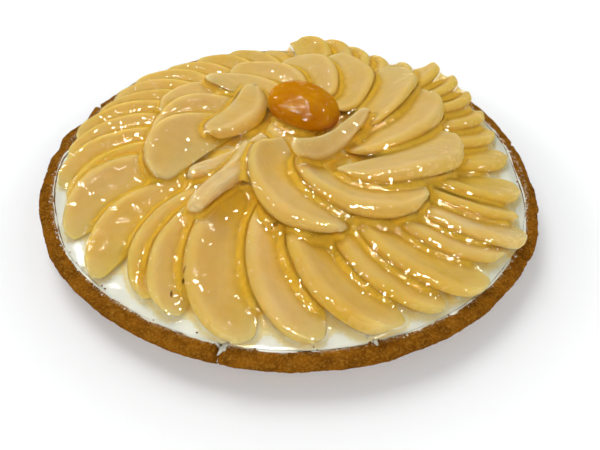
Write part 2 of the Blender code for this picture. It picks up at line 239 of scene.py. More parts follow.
def end_rings(ring, outward):
    """Rings that round off an end beyond its last section, the innermost last."""
    centre = ring.mean(axis=0)
    return [centre + share * (ring - centre) + beyond * outward for share, beyond in END_RINGS]


def ring_faces(rings, size):
    """Faces between rings of points, and between the end rings and a point at each end."""
    k = np.arange(size)
    after = (k + 1) % size
    faces = []
    for ring in range(rings - 1):
        a, b = ring * size, (ring + 1) * size
        faces += np.stack([a + k, b + k, b + after, a + after], axis=1).tolist()
    first, last = rings * size, rings * size + 1
    faces += [(first, int(i), int(j)) for i, j in zip(k, after)]
    top = (rings - 1) * size
    faces += [(last, int(top + j), int(top + i)) for i, j in zip(k, after)]
    return faces


def fine_slice(name, seed):
    """Points, faces and per-point values of a slice's fine surface."""
    net, along, across = slice_net(name)
    curves = np.einsum("sk,kcx->scx", spline_weights(STATIONS, ALONG), net)
    sections = rounded(curves, CORNER_RADII)
    forward = np.array((along[0], along[1], 0.0))
    stem = end_rings(sections[0], -forward)[::-1]
    tip = end_rings(sections[-1], forward)
    rings = np.concatenate([stem, sections, tip])
    first = sections[0].mean(axis=0) - END_TIP * forward
    last = sections[-1].mean(axis=0) + END_TIP * forward
    count, size = len(rings), rings.shape[1]
    points = np.concatenate([rings.reshape(-1, 3), [first, last]])
    for scale, reach in WOBBLE:
        points = points + reach * lumps(points, scale, seed)
    corner = np.arange(size) / PER_CORNER
    skin = np.clip(1.0 - np.abs(corner - SKIN_CORNER) / SKIN_REACH, 0.0, 1.0)
    skin = np.concatenate([np.tile(skin, count), [0.0, 0.0]])
    share = np.concatenate([np.repeat(np.linspace(0.0, 1.0, count), size), [0.0, 1.0]])
    tip = np.clip((share - TIP_GLOW_START) / (1.0 - TIP_GLOW_START), 0.0, 1.0)
    way = points[:, :2] @ along
    sideways = points[:, :2] @ across
    return points, ring_faces(count, size), {"skin": skin, "tip": tip, "way": way, "sideways": sideways}


# Heights seen from above

def blur(grid, reach):
    """A grid smoothed over about `reach` metres."""
    width = reach / CELL
    steps = np.arange(-int(3 * width), int(3 * width) + 1)
    weights = np.exp(-0.5 * (steps / width) ** 2)
    weights /= weights.sum()
    for axis in (0, 1):
        grid = np.apply_along_axis(np.convolve, axis, grid, weights, "same")
    return grid


def height_grid(tree):
    """Height of what the tree holds, cell by cell, and 0 beside it."""
    side = 2 * HALF_CELLS + 1
    grid = np.zeros((side, side))
    down = Vector((0.0, 0.0, -1.0))
    for i in range(side):
        for j in range(side):
            place = Vector(((i - HALF_CELLS) * CELL, (j - HALF_CELLS) * CELL, 1.0))
            hit = tree.ray_cast(place, down)[0]
            if hit is not None:
                grid[i, j] = hit.z
    return grid


def read_grid(grid, points):
    """The grid's value under each point, evenly blended between cells."""
    place = np.clip(points[:, :2] / CELL + HALF_CELLS, 0, 2 * HALF_CELLS - 1.001)
    low = place.astype(int)
    u, v = (place - low).T
    i, j = low.T
    near = (1 - v) * grid[i, j] + v * grid[i, j + 1]
    far = (1 - v) * grid[i + 1, j] + v * grid[i + 1, j + 1]
    return (1 - u) * near + u * far


# Crust and cream

CRUST_ROWS = 10
CRUST_MIDDLE = (0.0011, 0.0080)      # a place inside the rim's section: outward, up
CRUST_RADII = (0.0005, 0.0006, 0.0030, 0.0022, 0.0008, 0.0016, 0.0008, 0.0006, 0.0020, 0.0010)
CRUST_STEP = 0.40                    # degrees between columns
CRUST_SPACING = 0.0011
CRUST_LUMPS = ((110.0, 0.00040), (330.0, 0.00030), (800.0, 0.00022))
CRUST_SEED = 71
CREAM_ROWS = 10
CREAM_RADII = (0.0010, 0.0020, 0.0004, 0.0008, 0.0024, 0.0030, 0.0060, 0.0060, 0.0060, 0.0060)
CREAM_STEP = 0.75
CREAM_SPACING = 0.0016
CREAM_SPREAD = 0.00045               # outwards over the gap to the crust
CREAM_LUMPS = ((45.0, 0.00050), (140.0, 0.00022), (420.0, 0.00009))
CREAM_SEED = 81
BEARING_SHIFT = 0.7                  # degrees: keeps the column at +X in one piece
SAME_BEARING = 0.05                  # degrees between the points of one column at most
CRUST_START = -120.0                 # bearing about CRUST_MIDDLE where a column begins
CREAM_MIDDLE = 0.010                 # height between the cream's bottom and its top
INNER_POINT = 6                      # of a crust column: its rim's inner edge
CREAM_LINE = 7                       # and where the cream meets it


def turned_columns(name, rows):
    """Bearings of a turned solid's whole columns, and the radii and heights in each."""
    points = node_points(name)
    points = points[np.hypot(points[:, 0], points[:, 1]) > 1e-4]
    bearing = (np.degrees(np.arctan2(points[:, 1], points[:, 0])) + BEARING_SHIFT) % 360.0
    columns = np.array([c for c in groups(points, bearing, SAME_BEARING) if len(c) == rows])
    middle = columns.mean(axis=1)
    bearing = np.degrees(np.arctan2(middle[:, 1], middle[:, 0]))
    return bearing, np.stack([np.hypot(columns[..., 0], columns[..., 1]), columns[..., 2]], axis=-1)


def crust_columns():
    """The crust's columns, each from under the foot over the rim to the floor."""
    bearing, columns = turned_columns("crust", CRUST_ROWS)
    for column in columns:
        out = column[:, 0] - column[:, 0].mean() - CRUST_MIDDLE[0]
        turn = np.arctan2(column[:, 1] - CRUST_MIDDLE[1], out)
        start = math.radians(CRUST_START)
        column[:] = column[np.argsort((turn - start) % (2.0 * math.pi))]
    return bearing, columns


def cream_columns():
    """The cream's columns, each from the floor up its edge and in to the middle."""
    bearing, columns = turned_columns("cream", CREAM_ROWS)
    for column in columns:
        low = column[:, 1] < CREAM_MIDDLE
        bottom = column[low]
        top = column[~low]
        column[:] = np.concatenate([bottom[np.argsort(bottom[:, 0])], top[np.argsort(-top[:, 0])]])
        column[len(bottom), 0] += CREAM_SPREAD
    return bearing, columns


def rounded_profile(columns, radii):
    """Open profiles with their corners rounded."""
    parts = [columns[:, 0]]
    for k in range(1, columns.shape[1] - 1):
        parts += corner_curve(columns[:, k - 1], columns[:, k], columns[:, k + 1], radii[k])
    parts.append(columns[:, -1])
    return np.stack(parts, axis=1)


def filled_profile(columns, spacing, first):
    """Profiles with points put in on long edges, from point `first` on."""
    gaps = np.linalg.norm(np.diff(columns.mean(axis=0), axis=0), axis=1)
    parts = []
    for k, gap in enumerate(gaps):
        steps = max(1, int(round(gap / spacing))) if k >= first else 1
        for i in range(steps):
            parts.append(columns[:, k] + (columns[:, k + 1] - columns[:, k]) * (i / steps))
    parts.append(columns[:, -1])
    return np.stack(parts, axis=1)


def turned_surface(bearing, columns, step, lump_sizes, seed):
    """Points and faces of a turned piece with even columns, its own ones kept, and lumps."""
    fine = np.unique(np.concatenate([np.arange(0.0, 360.0, step), np.round(bearing % 360.0, 3)]))
    fine = fine[np.concatenate([[True], np.diff(fine) > 0.12 * step])]
    rows = columns.shape[1]
    read = np.zeros((len(fine), rows, 2))
    for row in range(rows):
        for part in (0, 1):
            read[:, row, part] = np.interp(fine, bearing, columns[:, row, part], period=360.0)
    angle = np.radians(fine)[:, None]
    grid = np.stack([read[..., 0] * np.cos(angle), read[..., 0] * np.sin(angle), read[..., 1]], axis=-1)
    points = grid.reshape(-1, 3)
    for number, (scale, reach) in enumerate(lump_sizes):
        points = points + reach * lumps(points, scale, seed + number)
    centres = [[0.0, 0.0, columns[:, 0, 1].mean()], [0.0, 0.0, columns[:, -1, 1].mean()]]
    points = np.concatenate([points, centres])
    first = len(fine) * rows
    faces = []
    for column in range(len(fine)):
        here = column * rows
        there = (column + 1) % len(fine) * rows
        row = np.arange(rows - 1)
        faces += np.stack([here + row, there + row, there + row + 1, here + row + 1], axis=1).tolist()
        faces.append((first, there, here))
        faces.append((first + 1, here + rows - 1, there + rows - 1))
    return points, faces


# Apricot

APRICOT_LEVELS = 3
APRICOT_LUMPS = ((70.0, 0.00045), (300.0, 0.00010))


def fine_apricot(seed):
    """Points and faces of the half apricot, smoothed from its solid."""
    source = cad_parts["apricot"].data
    corners = [v.co for v in source.vertices]
    holder = new_object("apricot_work", corners, [p.vertices for p in source.polygons])
    weld = holder.modifiers.new("weld", "WELD")
    weld.merge_threshold = 0.00001
    smooth = holder.modifiers.new("smooth", "SUBSURF")
    smooth.levels = smooth.render_levels = APRICOT_LEVELS
    points, faces = evaluated(holder)
    for scale, reach in APRICOT_LUMPS:
        points = points + reach * lumps(points, scale, seed)
    return points, faces


def evaluated(holder):
    """Points and faces of an object with its modifiers, which is then removed."""
    graph = bpy.context.evaluated_depsgraph_get()
    mesh = bpy.data.meshes.new_from_object(holder.evaluated_get(graph))
    flat = np.zeros(3 * len(mesh.vertices), dtype=np.float32)
    mesh.vertices.foreach_get("co", flat)
    faces = [tuple(p.vertices) for p in mesh.polygons]
    bpy.data.objects.remove(holder, do_unlink=True)
    bpy.data.meshes.remove(mesh)
    return flat.reshape(-1, 3).astype(float), faces


# Glaze: one film over the fruit, filled out where slices meet

FILM_VOXEL = 0.0011
FILM_SWELL = 0.0033          # outwards before the surfaces join, and back again afterwards
FILM_THICKNESS = 0.00030
FILM_SMOOTHING = 12
FILM_REACH = 0.16            # how far on to the cream, as a share of fruit nearby
FILM_ROOM = 0.0025           # free space over the film, where less counts as hidden
FILM_SMALLEST = 400          # faces in a patch that is kept
SYRUP_DEPTHS = (0.0002, 0.0015)      # where deep glaze starts to hide what is under it, and hides it
SYRUP_INSIDE = (0.72, 0.92)          # share of fruit around, for the glaze to be as dark as that
FILM_START = 0.0004          # start of the test ray, clear of the film
FILM_DOWNWARD = -0.4         # upward part of a normal, below which the film faces down
FILM_RIPPLE = 0.00022        # height of the ripples that set in it
RIPPLE_SCALE = 140.0         # of them in each metre
RIPPLE_SHARE = 0.3           # added to their noise, so that they cover more of the film
RIPPLE_SEED = 41
STEEP = 0.15                 # what a normal's upward part loses over a full step of steepness
STEEP_START = 0.15           # steepness that still counts as level
BUBBLES = (                  # where small bubbles set in it: place and reach
    (-0.0817, -0.0843, 0.0060), (-0.0728, -0.0702, 0.0070), (-0.0558, -0.0555, 0.0060),
    (-0.0336, -0.1094, 0.0060), (-0.0213, -0.1259, 0.0050), (-0.0150, -0.1127, 0.0050),
    (-0.0962, -0.0320, 0.0030), (-0.0717, -0.0267, 0.0030), (0.0114, -0.1272, 0.0050),
    (0.0030, -0.0030, 0.0070),
)


def point_normals(points, faces):
    """Outward normals at the points of a mesh."""
    mesh = bpy.data.meshes.new("normals")
    mesh.from_pydata([tuple(p) for p in points], [], faces)
    flat = np.zeros(3 * len(mesh.vertices), dtype=np.float32)
    mesh.vertices.foreach_get("normal", flat)
    bpy.data.meshes.remove(mesh)
    return flat.reshape(-1, 3).astype(float)


def tree_of(shape):
    """A search tree for the faces of a mesh."""
    points, faces = shape
    return BVHTree.FromPolygons([tuple(p) for p in points], faces)


def joined(parts):
    """Points and faces of several meshes as one."""
    points, faces, start = [], [], 0
    for part_points, part_faces in parts:
        points.append(part_points)
        faces += [tuple(start + i for i in face) for face in part_faces]
        start += len(part_points)
    return np.concatenate(points), faces


def patches(faces, count):
    """A number for each point, the same throughout each connected patch."""
    pairs = np.array([(a, b) for face in faces for a, b in zip(face, face[1:])])
    label = np.arange(count)
    while True:
        low = np.minimum(label[pairs[:, 0]], label[pairs[:, 1]])
        before = label.copy()
        np.minimum.at(label, pairs[:, 0], low)
        np.minimum.at(label, pairs[:, 1], low)
        label = label[label]
        if np.array_equal(label, before):
            return label


def film_hull(parts):
    """One skin close around the given closed meshes, filled out where they meet."""
    swollen = [(points + FILM_SWELL * point_normals(points, faces), faces) for points, faces in parts]
    holder = new_object("film_work", *joined(swollen))
    remesh = holder.modifiers.new("remesh", "REMESH")
    remesh.mode = "VOXEL"
    remesh.voxel_size = FILM_VOXEL
    smooth = holder.modifiers.new("smooth", "SMOOTH")
    smooth.factor = 0.5
    smooth.iterations = FILM_SMOOTHING
    points, faces = evaluated(holder)
    return points - (FILM_SWELL - FILM_THICKNESS) * point_normals(points, faces), faces


def film_open(points, faces, covered):
    """The part of the skin that is over fruit, faces up and isn't hidden, without small patches."""
    normals = point_normals(points, faces)
    tree = tree_of((points, faces))
    above = read_grid(covered, points) > FILM_REACH
    shown = above.copy()
    for i in np.nonzero(above)[0]:
        ahead = Vector(normals[i])
        start = Vector(points[i]) + ahead * FILM_START
        shown[i] = ahead.z > FILM_DOWNWARD and tree.ray_cast(start, ahead, FILM_ROOM)[0] is None
    faces = [face for face in faces if all(shown[i] for i in face)]
    label = patches(faces, len(points))
    sizes = np.bincount(label[[face[0] for face in faces]], minlength=len(points))
    faces = [face for face in faces if sizes[label[face[0]]] >= FILM_SMALLEST]

    used = np.unique([i for face in faces for i in face])
    number = np.full(len(points), -1)
    number[used] = np.arange(len(used))
    return points[used], [tuple(int(number[i]) for i in face) for face in faces]


def film_shape(parts, covered):
    """Points, faces and thickness of the glaze film over the given closed meshes."""
    points, faces = film_open(*film_hull(parts), covered)
    under = tree_of(joined(parts))
    depth = np.zeros(len(points))
    for i, point in enumerate(points):
        place, normal, _, distance = under.find_nearest(Vector(point))
        outside = (Vector(point) - place).dot(normal) > 0.0
        if not outside or distance < 0.5 * FILM_THICKNESS:
            points[i] = place + normal * (0.5 * FILM_THICKNESS)
            distance = 0.5 * FILM_THICKNESS
        depth[i] = distance
    ripple = np.clip(lumps(points, RIPPLE_SCALE, RIPPLE_SEED)[:, 0] + RIPPLE_SHARE, 0.0, 1.0)
    points = points + FILM_RIPPLE * ripple[:, None] * point_normals(points, faces)
    return points, faces, depth


def steepness(points, faces):
    """How steep the film is at each point, from 0 where it is nearly level to 1."""
    return np.clip((1.0 - point_normals(points, faces)[:, 2]) / STEEP - STEEP_START, 0.0, 1.0)


def spread(values, ends):
    """Values from 0 at the first end to 1 at the second, and held there."""
    return np.clip((values - ends[0]) / (ends[1] - ends[0]), 0.0, 1.0)


def bubbly(points):
    """How near each point is to the places with bubbles, from 0 to 1."""
    near = np.zeros(len(points))
    for x, y, reach in BUBBLES:
        distance = np.hypot(points[:, 0] - x, points[:, 1] - y)
        near = np.maximum(near, np.exp(-0.5 * (distance / reach) ** 2))
    return near


# Materials

YELLOW = (0.700, 0.425, 0.062)
BEIGE = (0.760, 0.530, 0.225)
# painted light: saturated amber in creases stands in for light thrown between the slices, partly glaze
# gathered there
PAINTED_CREASE_AMBER = (0.800, 0.460, 0.016)
SOAKED = (0.760, 0.500, 0.060)
# partly the golder flesh by the peel, partly painted light that brightens the skin side against its shade
GOLD_SKIN_AND_PAINTED_LIGHT = (0.780, 0.470, 0.030)
# painted light: the pale tip stands in for light shining through the thin end
PAINTED_TIP_GLOW = (0.760, 0.585, 0.250)
FIBRE = (0.830, 0.640, 0.360)
CREAM = (0.800, 0.810, 0.690)
CREAM_SHADE = (0.720, 0.730, 0.620)
STAIN = (0.760, 0.640, 0.300)
CRUST_DARK = (0.138, 0.044, 0.003)
CRUST_BROWN = (0.340, 0.122, 0.007)
CRUST_LIGHT = (0.480, 0.230, 0.030)
FLOUR = (0.560, 0.420, 0.250)
APRICOT = (0.640, 0.260, 0.000)
APRICOT_DEEP = (0.540, 0.175, 0.001)
GLAZE = (1.000, 0.905, 0.620)
SHINE = (1.000, 0.940, 0.740)
# deep glaze as an opaque body, pale so that it covers the crease shade beneath with painted light
SYRUP_PAINTED_GLOW = (0.880, 0.540, 0.045)
MARK = (0.150, 0.040, 0.008)
GREY_MARK = (0.250, 0.170, 0.080)

# Spots: place, half sizes and turn in degrees
BROWN_SPOTS = (((-0.0419, -0.1065), (0.0009, 0.0036), -20.0), ((-0.0449, -0.1136), (0.0005, 0.0016), 10.0))
GREY_SPOT = ((-0.0235, 0.0365), (0.0042, 0.0030), 30.0)
GREY_STRENGTH = 0.75
CREAM_SPOT = ((0.1266, -0.0460), (0.0011, 0.0009), 0.0)

# The floor's own glow, which keeps it pale beyond the tart's shadow
WHITE = (1.0, 1.0, 1.0)
FLOOR = (0.950, 0.960, 0.965)
GLOW_REACH = (0.15, 0.34)            # distances from the middle where it begins and is full
GLOW_RANGE = (0.01, 0.97)

# The film's shine and body
TINT_DEPTHS = (0.0002, 0.0018)       # where glaze starts to tint what is under it, and tints it fully
SYRUP_COVER = 0.62                   # share that the deepest glaze hides under its pale body of painted light
FACING_SHINE = 0.035                 # share of light thrown back, seen from straight above
GLANCING_SHINE = 0.14                # added to it along the surface
SWELL_SCALE = 215.0                  # of its soft waves in each metre
SWELL_RANGE = (0.15, 0.62)           # their strength where it is level, and where it is steep
BUBBLE_SCALE = 290.0
BUBBLE_STRENGTH = 0.50
RELIEF = 0.0048


def add(tree, kind, inputs=None, **settings):
    """A node with its settings, and its inputs set or linked."""
    made = tree.nodes.new(kind)
    for key, value in settings.items():
        setattr(made, key, value)
    for key, value in (inputs or {}).items():
        if isinstance(value, bpy.types.NodeSocket):
            tree.links.new(value, made.inputs[key])
        else:
            made.inputs[key].default_value = value
    return made


def mixed(tree, factor, first, second):
    """A mix of two colours, given as sockets or as three numbers."""
    made = add(tree, "ShaderNodeMix", {0: factor}, data_type="RGBA")
    for index, colour in ((6, first), (7, second)):
        if isinstance(colour, bpy.types.NodeSocket):
            tree.links.new(colour, made.inputs[index])
        else:
            made.inputs[index].default_value = (*colour, 1.0)
    return made.outputs[2]


def combined(tree, operation, first, second):
    return add(tree, "ShaderNodeMath", {0: first, 1: second}, operation=operation).outputs[0]


def ranged(tree, value, low, high, start=0.0, end=1.0):
    """A value spread from low..high to start..end, and held there."""
    inputs = {0: value, 1: low, 2: high, 3: start, 4: end}
    return add(tree, "ShaderNodeMapRange", inputs).outputs[0]


def value_of(tree, name):
    return add(tree, "ShaderNodeAttribute", attribute_name=name).outputs["Fac"]


def place_of(tree):
    return add(tree, "ShaderNodeTexCoord").outputs["Object"]


def grain(tree, scale, detail=3.0, where=None, roughness=0.55):
    """Noise of about `scale` lumps in each metre."""
    inputs = {"Vector": where or place_of(tree), "Scale": scale, "Detail": detail, "Roughness": roughness}
    return add(tree, "ShaderNodeTexNoise", inputs).outputs[0]


def uneven(tree, value, scale, reach):
    """A value with soft noise of about `scale` lumps in each metre added to it."""
    return combined(tree, "ADD", value, ranged(tree, grain(tree, scale), 0.3, 0.7, -reach, reach))


def bumped(tree, height, distance):
    """A normal for a relief of the given height."""
    inputs = {"Height": height, "Distance": distance, "Strength": 1.0}
    return add(tree, "ShaderNodeBump", inputs).outputs[0]


def spot(tree, centre, radii, turn):
    """1 inside a small uneven oval on the surface, seen from above, fading to 0 around it."""
    inputs = {
        "Vector": place_of(tree), "Location": (*centre, 0.0), "Scale": (*radii, 1000.0),
        "Rotation": (0.0, 0.0, math.radians(turn)),
    }
    local = add(tree, "ShaderNodeMapping", inputs, vector_type="TEXTURE").outputs[0]
    length = add(tree, "ShaderNodeVectorMath", {0: local}, operation="LENGTH").outputs["Value"]
    return ranged(tree, uneven(tree, length, 900.0, 0.3), 1.05, 0.65)


def new_material(name):
    material = bpy.data.materials.new(name)
    material.use_nodes = True
    tree = material.node_tree
    shader = tree.nodes["Principled BSDF"]
    return material, tree, shader


def set_inputs(tree, shader, **inputs):
    """The shader's inputs by name, with _ for a space, as sockets or values."""
    for key, value in inputs.items():
        key = "Specular IOR Level" if key == "Specular" else key.replace("_", " ")
        if isinstance(value, bpy.types.NodeSocket):
            tree.links.new(value, shader.inputs[key])
        elif isinstance(value, tuple) and len(value) == 3 and key != "Subsurface Radius":
            shader.inputs[key].default_value = (*value, 1.0)
        else:
            shader.inputs[key].default_value = value


def pear_material():
    """Soft translucent flesh: yellow to beige with fine fibres; amber in the hollows, partly glaze
    gathered there and partly painted crease light; a gold skin side, partly painted light; pale tips of
    painted light.
    """
    material, tree, shader = new_material("pear_flesh")
    tone = uneven(tree, value_of(tree, "tone"), 55.0, 0.22)
    colour = mixed(tree, tone, YELLOW, BEIGE)
    # painted crease light: points below the heights around them turn saturated amber, partly glaze
    # gathered there
    pool = uneven(tree, value_of(tree, "pool"), 130.0, 0.10)
    # skin side in gold: partly the flesh by the peel, partly painted light that lifts the side out of its
    # shade
    colour = mixed(tree, ranged(tree, value_of(tree, "skin"), 0.0, 1.0, 0.0, 0.55), colour, GOLD_SKIN_AND_PAINTED_LIGHT)
    # painted light: the thin tip turned pale, for light shining through it
    tip = uneven(tree, value_of(tree, "tip"), 90.0, 0.20)
    colour = mixed(tree, ranged(tree, tip, 0.15, 1.0, 0.0, 0.60), colour, PAINTED_TIP_GLOW)
    colour = mixed(tree, ranged(tree, pool, 0.10, 1.0, 0.0, 0.80), colour, PAINTED_CREASE_AMBER)
    strands = add(tree, "ShaderNodeCombineXYZ", {
        0: combined(tree, "MULTIPLY", value_of(tree, "way"), 90.0),
        1: combined(tree, "MULTIPLY", value_of(tree, "sideways"), 800.0),
        2: combined(tree, "MULTIPLY", value_of(tree, "tone"), 17.0),
    }).outputs[0]
    fibre = ranged(tree, grain(tree, 1.0, 4.0, strands), 0.42, 0.70)
    strength = ranged(tree, value_of(tree, "fibre"), 0.0, 1.0, 0.08, 0.75)
    colour = mixed(tree, combined(tree, "MULTIPLY", fibre, strength), colour, FIBRE)
    for place in BROWN_SPOTS:
        colour = mixed(tree, spot(tree, *place), colour, MARK)
    grey = combined(tree, "MULTIPLY", spot(tree, *GREY_SPOT), GREY_STRENGTH)
    colour = mixed(tree, grey, colour, GREY_MARK)
    relief = combined(tree, "MULTIPLY", fibre, strength)
    set_inputs(
        tree, shader, Base_Color=colour, Roughness=0.60, Specular=0.0,
        Subsurface_Weight=0.90, Subsurface_Radius=(1.0, 0.85, 0.45), Subsurface_Scale=0.011,
        Normal=bumped(tree, relief, 0.0003),
    )
    return material


def apricot_material():
    material, tree, shader = new_material("apricot_flesh")
    colour = mixed(tree, ranged(tree, grain(tree, 70.0), 0.35, 0.65), APRICOT, APRICOT_DEEP)
    speckle = ranged(tree, grain(tree, 900.0), 0.58, 0.72, 0.0, 0.35)
    colour = mixed(tree, speckle, colour, APRICOT_DEEP)
    set_inputs(
        tree, shader, Base_Color=colour, Roughness=0.60, Specular=0.0,
        Subsurface_Weight=0.45, Subsurface_Radius=(1.0, 0.60, 0.15), Subsurface_Scale=0.003,
        Normal=bumped(tree, grain(tree, 350.0), 0.0002),
    )
    return material


def cream_material():
    """Set cream, stained by the glaze near the fruit."""
    material, tree, shader = new_material("set_cream")
    colour = mixed(tree, ranged(tree, grain(tree, 60.0), 0.35, 0.70), CREAM, CREAM_SHADE)
    stain = uneven(tree, value_of(tree, "stain"), 150.0, 0.22)
    colour = mixed(tree, ranged(tree, stain, 0.30, 0.75, 0.0, 0.8), colour, STAIN)
    colour = mixed(tree, ranged(tree, stain, 0.75, 0.95), colour, SOAKED)
    colour = mixed(tree, spot(tree, *CREAM_SPOT), colour, MARK)
    fine_height = combined(tree, "MULTIPLY", grain(tree, 700.0), 0.25)
    height = combined(tree, "ADD", grain(tree, 170.0), fine_height)
    set_inputs(
        tree, shader, Base_Color=colour, Roughness=0.50, Specular=0.15,
        Subsurface_Weight=0.35, Subsurface_Radius=(1.0, 0.85, 0.60), Subsurface_Scale=0.002,
        Coat_Weight=0.20, Coat_Roughness=0.12, Normal=bumped(tree, height, 0.0006),
    )
    return material


def crust_material():
    """Baked crumb, dark and light grains mixed, paler along the rim's inner edge."""
    material, tree, shader = new_material("baked_crust")
    coarse = ranged(tree, grain(tree, 160.0, 4.0), 0.30, 0.72)
    colour = mixed(tree, coarse, CRUST_DARK, CRUST_BROWN)
    fine = ranged(tree, grain(tree, 900.0, 4.0, roughness=0.7), 0.48, 0.75)
    colour = mixed(tree, fine, colour, CRUST_LIGHT)
    dark = ranged(tree, grain(tree, 1300.0, 3.0), 0.60, 0.72, 0.0, 0.7)
    colour = mixed(tree, dark, colour, CRUST_DARK)
    pale = combined(tree, "MULTIPLY", value_of(tree, "pale"), ranged(tree, grain(tree, 600.0), 0.45, 0.62))
    colour = mixed(tree, pale, colour, FLOUR)
    fine_height = combined(tree, "MULTIPLY", grain(tree, 2200.0), 0.4)
    height = combined(tree, "ADD", grain(tree, 700.0, 4.0), fine_height)
    set_inputs(
        tree, shader, Base_Color=colour, Roughness=0.90, Specular=0.0,
        Normal=bumped(tree, height, 0.0011),
    )
    return material


def glaze_material():
    """Clear wet film: tinted where it is deep, with a rippled shine, and an opaque pale body in the
    deepest valleys that lays painted light over the crease shade.
    """
    material, tree, shader = new_material("clear_glaze")
    tree.nodes.remove(shader)
    deep = ranged(tree, value_of(tree, "depth"), *TINT_DEPTHS)
    tint = mixed(tree, deep, WHITE, GLAZE)
    clear = add(tree, "ShaderNodeBsdfTransparent", {"Color": tint}).outputs[0]
    # painted light: an opaque pale body in deep glaze, which hides the shaded crease under it
    syrup = add(tree, "ShaderNodeBsdfDiffuse", {"Color": (*SYRUP_PAINTED_GLOW, 1.0)}).outputs[0]
    body = combined(tree, "MULTIPLY", value_of(tree, "syrup"), SYRUP_COVER)
    inside = add(tree, "ShaderNodeMixShader", {0: body, 1: clear, 2: syrup}).outputs[0]
    steep = ranged(tree, value_of(tree, "ripple"), 0.0, 1.0, *SWELL_RANGE)
    swell = combined(tree, "MULTIPLY", grain(tree, SWELL_SCALE, 0.0), steep)
    bubbles = ranged(tree, value_of(tree, "bubbles"), 0.1, 0.9, 0.0, BUBBLE_STRENGTH)
    fine = combined(tree, "MULTIPLY", grain(tree, BUBBLE_SCALE, 0.0), bubbles)
    normal = bumped(tree, combined(tree, "ADD", swell, fine), RELIEF)
    gloss = {"Color": (*SHINE, 1.0), "Roughness": 0.02, "Normal": normal}
    shine = add(tree, "ShaderNodeBsdfGlossy", gloss).outputs[0]
    facing = add(tree, "ShaderNodeLayerWeight", {"Blend": 0.5}).outputs["Facing"]
    glancing = combined(tree, "MULTIPLY", combined(tree, "POWER", facing, 5.0), GLANCING_SHINE)
    share = combined(tree, "ADD", glancing, FACING_SHINE)
    film = add(tree, "ShaderNodeMixShader", {0: share, 1: inside, 2: shine}).outputs[0]
    tree.links.new(film, tree.nodes["Material Output"].inputs["Surface"])
    return material


def floor_material():
    """Pale floor that stays as pale far from the lamps."""
    material, tree, shader = new_material("pale_floor")
    distance = add(tree, "ShaderNodeVectorMath", {0: place_of(tree)}, operation="LENGTH").outputs["Value"]
    set_inputs(
        tree, shader, Base_Color=FLOOR, Roughness=0.6, Specular=0.0, Emission_Color=WHITE,
        Emission_Strength=ranged(tree, distance, *GLOW_REACH, *GLOW_RANGE),
    )
    return material


def backdrop_material():
    material, tree, shader = new_material("pale_backdrop")
    set_inputs(
        tree, shader, Base_Color=(0.0, 0.0, 0.0), Roughness=1.0, Specular=0.0,
        Emission_Color=WHITE, Emission_Strength=1.0,
    )
    return material


# Pieces

TONES = {
    "pear_outer_11": 0.15, "pear_outer_12": 0.60, "pear_outer_13": 0.30, "pear_outer_15": 0.60,
    "pear_outer_16": 0.45, "pear_outer_17": 0.65, "pear_outer_21": 0.55, "pear_outer_22": 0.75,
    "pear_inner_04": 1.00, "pear_inner_05": 0.95, "pear_inner_09": 0.65, "pear_beside_02": 0.85,
}
RING_TONES = {"pear_outer": 0.30, "pear_middle": 0.40, "pear_inner": 0.65, "pear_beside": 0.70}
PALE_EDGE = 0.0013           # how wide the rim's inner edge is dusted

# Cream pressed up along the rim
BEAD_STEP = 0.5              # degrees
BEAD_SIDES = 8
BEAD_INWARD = 0.00020
BEAD_RISE = 0.00120
BEAD_THICKNESS = 0.00060
BEAD_SEED = 91

# Crumbs: number, place beyond the rim's inner edge and its spread, sizes from and to, seed
BROWN_CRUMBS = (230, (0.0008, 0.0014), (0.00035, 0.00090), 5)
PALE_CRUMBS = (260, (0.0002, 0.0006), (0.00025, 0.00060), 6)

# Cream on the rim: place, spread, number and size of the thin patches
SMEAR_THICKNESS = 0.00022
SMEAR_LIFT = 0.00005
SMEAR_SEED = 17
SMEARS = (
    (-0.0222, -0.1325, 0.0009, 12, 0.0011), (0.0365, -0.1262, 0.0016, 7, 0.0011),
    (0.0760, -0.1030, 0.0018, 6, 0.0011), (-0.0900, -0.0960, 0.0010, 5, 0.0009),
)


def build_fruit():
    """Every slice and the apricot as closed fine meshes, by node name."""
    names = sorted(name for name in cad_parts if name.startswith("pear"))
    slices = {name: fine_slice(name, seed) for seed, name in enumerate(names, start=1)}
    return slices, fine_apricot(len(names) + 1)


def build_crust():
    """The crust's fine points and faces, and how near each point is to the rim's inner edge."""
    bearing, columns = crust_columns()
    inner = columns[:, INNER_POINT, 0].mean()
    columns = filled_profile(rounded_profile(columns, CRUST_RADII), CRUST_SPACING, 0)
    points, faces = turned_surface(bearing, columns, CRUST_STEP, CRUST_LUMPS, CRUST_SEED)
    radius = np.hypot(points[:, 0], points[:, 1])
    pale = np.clip(1.0 - np.abs(radius - inner) / PALE_EDGE, 0.0, 1.0) * (points[:, 2] > 0.012)
    return points, faces, pale


def build_cream():
    bearing, columns = cream_columns()
    columns = filled_profile(rounded_profile(columns, CREAM_RADII), CREAM_SPACING, 2 * PER_CORNER)
    return turned_surface(bearing, columns, CREAM_STEP, CREAM_LUMPS, CREAM_SEED)


def inner_edge():
    """Bearings, radii and heights of the line where the cream meets the rim."""
    bearing, columns = crust_columns()
    order = np.argsort(bearing)
    return bearing[order], columns[order, INNER_POINT, 0], columns[order, CREAM_LINE, 1]


